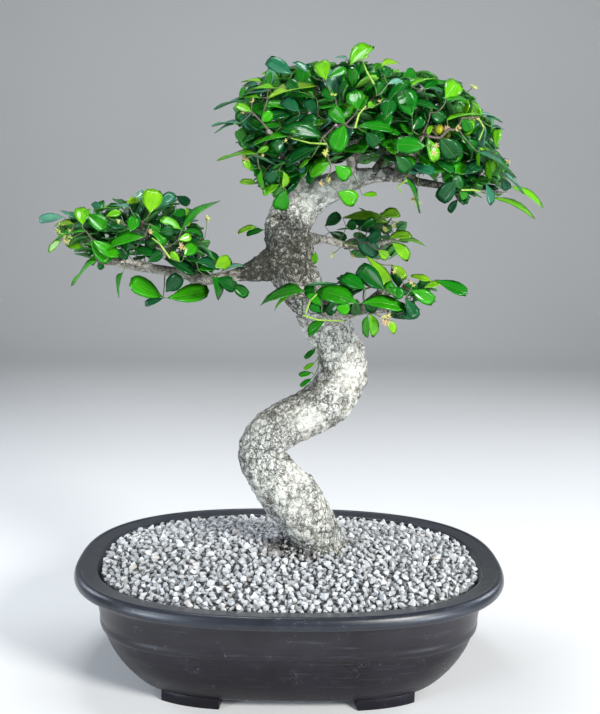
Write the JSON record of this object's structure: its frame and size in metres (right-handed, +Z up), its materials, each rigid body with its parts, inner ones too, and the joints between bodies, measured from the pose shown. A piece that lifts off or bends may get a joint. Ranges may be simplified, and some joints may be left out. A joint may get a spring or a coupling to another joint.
{
  "type": "fukien tea bonsai",
  "caption": "Small S-trunked bonsai tree with glossy obovate leaves in layered pads, growing in a wide oval pot with a flat rim, a stepped body and four feet, under a heap of pale gravel.",
  "frame": {"origin": "middle of the pot, on the surface that its feet stand on", "axes": "+Z up, +X to the right of the pictured front along the pot's length, +Y to the back"},
  "size_m": [0.4043, 0.264, 0.5125],
  "materials": {
    "pot": "satin charcoal brown moulded plastic with faint scuffs",
    "screen": "matt black moulded mesh",
    "soil": "damp granular mix",
    "gravel": "dry crushed grey stone, rough",
    "bark": "pale finely cracked bark",
    "leaf": "glossy waxy leaves, dark to yellow green",
    "berry": "smooth yellow-green skin"
  },
  "bodies": {
    "root": {"pot": "pot", "drain_mesh_left": "screen", "drain_mesh_right": "screen", "soil_mix": "soil", "gravel_top_dressing": "gravel", "trunk_branches_and_roots": "bark", "berry_left": "berry", "berry_right": "berry", "crown_shoot_01": "leaf", "crown_shoot_02": "leaf", "crown_shoot_03": "leaf", "crown_shoot_04": "leaf", "crown_shoot_05": "leaf", "crown_shoot_06": "leaf", "crown_shoot_07": "leaf", "crown_shoot_08": "leaf", "crown_shoot_09": "leaf", "crown_shoot_10": "leaf", "crown_shoot_11": "leaf", "crown_shoot_12": "leaf", "crown_shoot_13": "leaf", "crown_shoot_14": "leaf", "crown_shoot_15": "leaf", "crown_shoot_16": "leaf", "crown_shoot_17": "leaf", "crown_shoot_18": "leaf", "crown_shoot_19": "leaf", "crown_shoot_20": "leaf", "crown_shoot_21": "leaf", "crown_shoot_22": "leaf", "crown_shoot_23": "leaf", "crown_shoot_24": "leaf", "crown_shoot_25": "leaf", "crown_shoot_26": "leaf", "crown_shoot_27": "leaf", "crown_shoot_28": "leaf", "crown_shoot_29": "leaf", "crown_shoot_30": "leaf", "crown_shoot_31": "leaf", "left_shoot_01": "leaf", "left_shoot_02": "leaf", "left_shoot_03": "leaf", "left_shoot_04": "leaf", "left_shoot_05": "leaf", "left_shoot_06": "leaf", "left_shoot_07": "leaf", "left_shoot_08": "leaf", "left_shoot_09": "leaf", "left_shoot_10": "leaf", "right_shoot_01": "leaf", "right_shoot_02": "leaf", "right_shoot_03": "leaf", "right_shoot_04": "leaf", "right_shoot_05": "leaf", "right_shoot_06": "leaf", "back_shoot_01": "leaf", "back_shoot_02": "leaf", "back_shoot_03": "leaf", "trunk_shoot_01": "leaf", "trunk_shoot_02": "leaf"}
  },
  "joints": []
}
